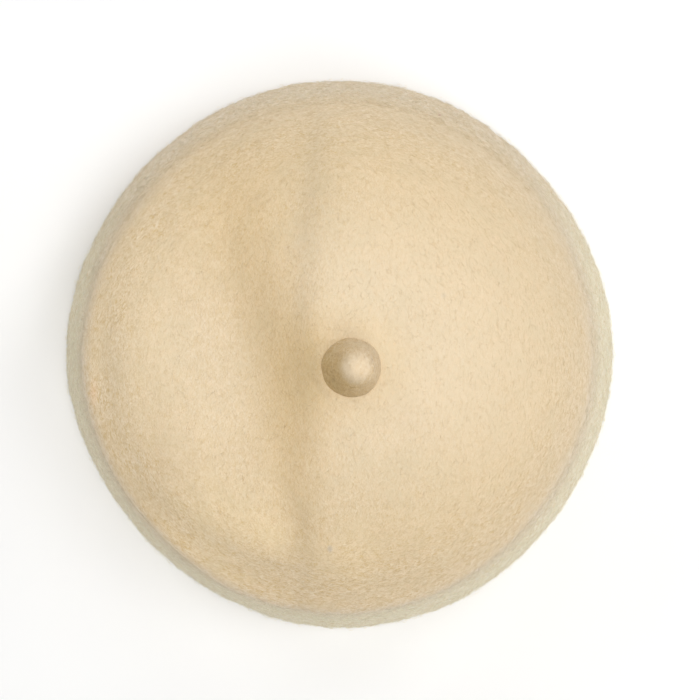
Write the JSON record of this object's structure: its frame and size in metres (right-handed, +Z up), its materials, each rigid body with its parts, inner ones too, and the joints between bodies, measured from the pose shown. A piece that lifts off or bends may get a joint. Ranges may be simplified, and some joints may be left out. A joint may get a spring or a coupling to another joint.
{
  "type": "felt fez",
  "caption": "Soft cream felt fez with a short leaning wall, a deep round crown that has sunk in on the left beside a fold, and a stubby felt nub on top, open underneath for the head.",
  "frame": {"origin": "middle of the rim, on the surface that the cap rests on", "axes": "+Z up through the crown, +X the cap's right, +Y its far side as the picture shows it from above"},
  "size_m": [0.1951, 0.1954, 0.1357],
  "materials": {
    "felt": "matt cream wool felt with a short nap",
    "nub_felt": "matt cream wool felt, denser and smoother than the cap's"
  },
  "bodies": {
    "root": {"felt_body": "felt", "nub": "nub_felt"}
  },
  "joints": []
}
